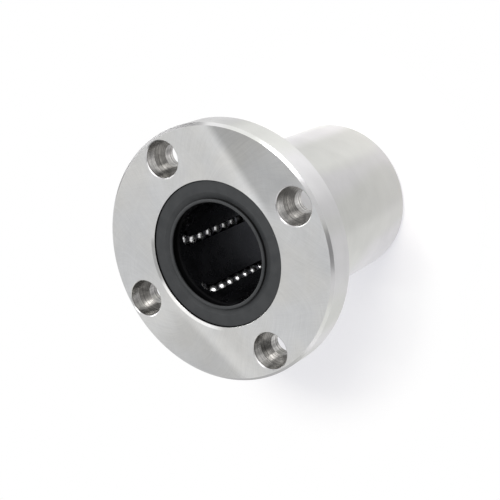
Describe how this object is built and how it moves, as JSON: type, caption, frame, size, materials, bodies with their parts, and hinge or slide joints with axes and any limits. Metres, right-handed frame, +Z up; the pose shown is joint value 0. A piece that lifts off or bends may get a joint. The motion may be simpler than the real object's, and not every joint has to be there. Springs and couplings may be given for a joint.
{
  "type": "flanged linear ball bearing",
  "caption": "Linear ball bushing with a round flange: a steel sleeve holds recirculating ball circuits in a resin retainer, sealed at both ends, and slides along a round shaft.",
  "frame": {"origin": "centre of the sleeve's lower, plain end face", "axes": "+Z up along the bore towards the flange; the bolt holes lie midway between +X, +Y, -X and -Y"},
  "size_m": [0.062, 0.062, 0.059],
  "materials": {
    "sleeve_steel": "fine turned",
    "retainer_resin": "moulded",
    "seal_rubber": "matte",
    "spring_steel": "oiled",
    "ball_steel": "polished"
  },
  "bodies": {
    "sleeve": {"flanged_sleeve": "sleeve_steel", "ball_retainer": "retainer_resin", "front_seal": "seal_rubber", "rear_seal": "seal_rubber", "front_snap_ring": "spring_steel", "rear_snap_ring": "spring_steel"},
    "load_row_1": {"load_balls_1": "ball_steel"},
    "top_turn_1": {"top_turn_balls_1": "ball_steel"},
    "return_row_1": {"return_balls_1": "ball_steel"},
    "bottom_turn_1": {"bottom_turn_balls_1": "ball_steel"},
    "load_row_2": {"load_balls_2": "ball_steel"},
    "top_turn_2": {"top_turn_balls_2": "ball_steel"},
    "return_row_2": {"return_balls_2": "ball_steel"},
    "bottom_turn_2": {"bottom_turn_balls_2": "ball_steel"},
    "load_row_3": {"load_balls_3": "ball_steel"},
    "top_turn_3": {"top_turn_balls_3": "ball_steel"},
    "return_row_3": {"return_balls_3": "ball_steel"},
    "bottom_turn_3": {"bottom_turn_balls_3": "ball_steel"},
    "load_row_4": {"load_balls_4": "ball_steel"},
    "top_turn_4": {"top_turn_balls_4": "ball_steel"},
    "return_row_4": {"return_balls_4": "ball_steel"},
    "bottom_turn_4": {"bottom_turn_balls_4": "ball_steel"},
    "load_row_5": {"load_balls_5": "ball_steel"},
    "top_turn_5": {"top_turn_balls_5": "ball_steel"},
    "return_row_5": {"return_balls_5": "ball_steel"},
    "bottom_turn_5": {"bottom_turn_balls_5": "ball_steel"},
    "load_row_6": {"load_balls_6": "ball_steel"},
    "top_turn_6": {"top_turn_balls_6": "ball_steel"},
    "return_row_6": {"return_balls_6": "ball_steel"},
    "bottom_turn_6": {"bottom_turn_balls_6": "ball_steel"}
  },
  "joints": [
    {"name": "load_row_1_slide", "type": "slide", "parent": "sleeve", "child": "load_row_1", "axis": [0, 0, 1], "range_m": [-0.00177, 0.00177]},
    {"name": "top_turn_1_roll", "type": "hinge", "parent": "sleeve", "child": "top_turn_1", "pos_m": [0.01451, 0.00092, 0.05068], "axis": [0.9647, 0.2632, 0], "range_deg": [-45.01, 45.01]},
    {"name": "return_row_1_slide", "type": "slide", "parent": "sleeve", "child": "return_row_1", "axis": [0, 0, -1], "range_m": [-0.00177, 0.00177]},
    {"name": "bottom_turn_1_roll", "type": "hinge", "parent": "sleeve", "child": "bottom_turn_1", "pos_m": [0.01451, 0.00092, 0.00832], "axis": [0.9647, 0.2632, 0], "range_deg": [-45.01, 45.01]},
    {"name": "load_row_2_slide", "type": "slide", "parent": "sleeve", "child": "load_row_2", "axis": [0, 0, 1], "range_m": [0, 0.00353]},
    {"name": "top_turn_2_roll", "type": "hinge", "parent": "sleeve", "child": "top_turn_2", "pos_m": [0.00646, 0.01303, 0.05068], "axis": [0.2545, 0.9671, 0], "range_deg": [-0.01, 90.01]},
    {"name": "return_row_2_slide", "type": "slide", "parent": "sleeve", "child": "return_row_2", "axis": [0, 0, -1], "range_m": [0, 0.00353]},
    {"name": "bottom_turn_2_roll", "type": "hinge", "parent": "sleeve", "child": "bottom_turn_2", "pos_m": [0.00646, 0.01303, 0.00832], "axis": [0.2545, 0.9671, 0], "range_deg": [-0.01, 90.01]},
    {"name": "load_row_3_slide", "type": "slide", "parent": "sleeve", "child": "load_row_3", "axis": [0, 0, 1], "range_m": [-0.00088, 0.00265]},
    {"name": "top_turn_3_roll", "type": "hinge", "parent": "sleeve", "child": "top_turn_3", "pos_m": [-0.00806, 0.01211, 0.05068], "axis": [-0.7103, 0.7039, 0], "range_deg": [-22.51, 67.51]},
    {"name": "return_row_3_slide", "type": "slide", "parent": "sleeve", "child": "return_row_3", "axis": [0, 0, -1], "range_m": [-0.00088, 0.00265]},
    {"name": "bottom_turn_3_roll", "type": "hinge", "parent": "sleeve", "child": "bottom_turn_3", "pos_m": [-0.00806, 0.01211, 0.00832], "axis": [-0.7103, 0.7039, 0], "range_deg": [-22.51, 67.51]},
    {"name": "load_row_4_slide", "type": "slide", "parent": "sleeve", "child": "load_row_4", "axis": [0, 0, 1], "range_m": [-0.00177, 0.00177]},
    {"name": "top_turn_4_roll", "type": "hinge", "parent": "sleeve", "child": "top_turn_4", "pos_m": [-0.01451, -0.00092, 0.05068], "axis": [-0.9647, -0.2632, 0], "range_deg": [-45.01, 45.01]},
    {"name": "return_row_4_slide", "type": "slide", "parent": "sleeve", "child": "return_row_4", "axis": [0, 0, -1], "range_m": [-0.00177, 0.00177]},
    {"name": "bottom_turn_4_roll", "type": "hinge", "parent": "sleeve", "child": "bottom_turn_4", "pos_m": [-0.01451, -0.00092, 0.00832], "axis": [-0.9647, -0.2632, 0], "range_deg": [-45.01, 45.01]},
    {"name": "load_row_5_slide", "type": "slide", "parent": "sleeve", "child": "load_row_5", "axis": [0, 0, 1], "range_m": [0, 0.00353]},
    {"name": "top_turn_5_roll", "type": "hinge", "parent": "sleeve", "child": "top_turn_5", "pos_m": [-0.00646, -0.01303, 0.05068], "axis": [-0.2545, -0.9671, 0], "range_deg": [-0.01, 90.01]},
    {"name": "return_row_5_slide", "type": "slide", "parent": "sleeve", "child": "return_row_5", "axis": [0, 0, -1], "range_m": [0, 0.00353]},
    {"name": "bottom_turn_5_roll", "type": "hinge", "parent": "sleeve", "child": "bottom_turn_5", "pos_m": [-0.00646, -0.01303, 0.00832], "axis": [-0.2545, -0.9671, 0], "range_deg": [-0.01, 90.01]},
    {"name": "load_row_6_slide", "type": "slide", "parent": "sleeve", "child": "load_row_6", "axis": [0, 0, 1], "range_m": [-0.00088, 0.00265]},
    {"name": "top_turn_6_roll", "type": "hinge", "parent": "sleeve", "child": "top_turn_6", "pos_m": [0.00806, -0.01211, 0.05068], "axis": [0.7103, -0.7039, 0], "range_deg": [-22.51, 67.51]},
    {"name": "return_row_6_slide", "type": "slide", "parent": "sleeve", "child": "return_row_6", "axis": [0, 0, -1], "range_m": [-0.00088, 0.00265]},
    {"name": "bottom_turn_6_roll", "type": "hinge", "parent": "sleeve", "child": "bottom_turn_6", "pos_m": [0.00806, -0.01211, 0.00832], "axis": [0.7103, -0.7039, 0], "range_deg": [-22.51, 67.51]}
  ],
  "couplings": [
    {"joint": "top_turn_1_roll", "follows": "load_row_1_slide", "rad_per_m": 444.98},
    {"joint": "return_row_1_slide", "follows": "load_row_1_slide", "ratio": 1},
    {"joint": "bottom_turn_1_roll", "follows": "load_row_1_slide", "rad_per_m": 444.98},
    {"joint": "top_turn_2_roll", "follows": "load_row_2_slide", "rad_per_m": 444.98},
    {"joint": "return_row_2_slide", "follows": "load_row_2_slide", "ratio": 1},
    {"joint": "bottom_turn_2_roll", "follows": "load_row_2_slide", "rad_per_m": 444.98},
    {"joint": "top_turn_3_roll", "follows": "load_row_3_slide", "rad_per_m": 444.98},
    {"joint": "return_row_3_slide", "follows": "load_row_3_slide", "ratio": 1},
    {"joint": "bottom_turn_3_roll", "follows": "load_row_3_slide", "rad_per_m": 444.98},
    {"joint": "top_turn_4_roll", "follows": "load_row_4_slide", "rad_per_m": 444.98},
    {"joint": "return_row_4_slide", "follows": "load_row_4_slide", "ratio": 1},
    {"joint": "bottom_turn_4_roll", "follows": "load_row_4_slide", "rad_per_m": 444.98},
    {"joint": "top_turn_5_roll", "follows": "load_row_5_slide", "rad_per_m": 444.98},
    {"joint": "return_row_5_slide", "follows": "load_row_5_slide", "ratio": 1},
    {"joint": "bottom_turn_5_roll", "follows": "load_row_5_slide", "rad_per_m": 444.98},
    {"joint": "top_turn_6_roll", "follows": "load_row_6_slide", "rad_per_m": 444.98},
    {"joint": "return_row_6_slide", "follows": "load_row_6_slide", "ratio": 1},
    {"joint": "bottom_turn_6_roll", "follows": "load_row_6_slide", "rad_per_m": 444.98}
  ]
}
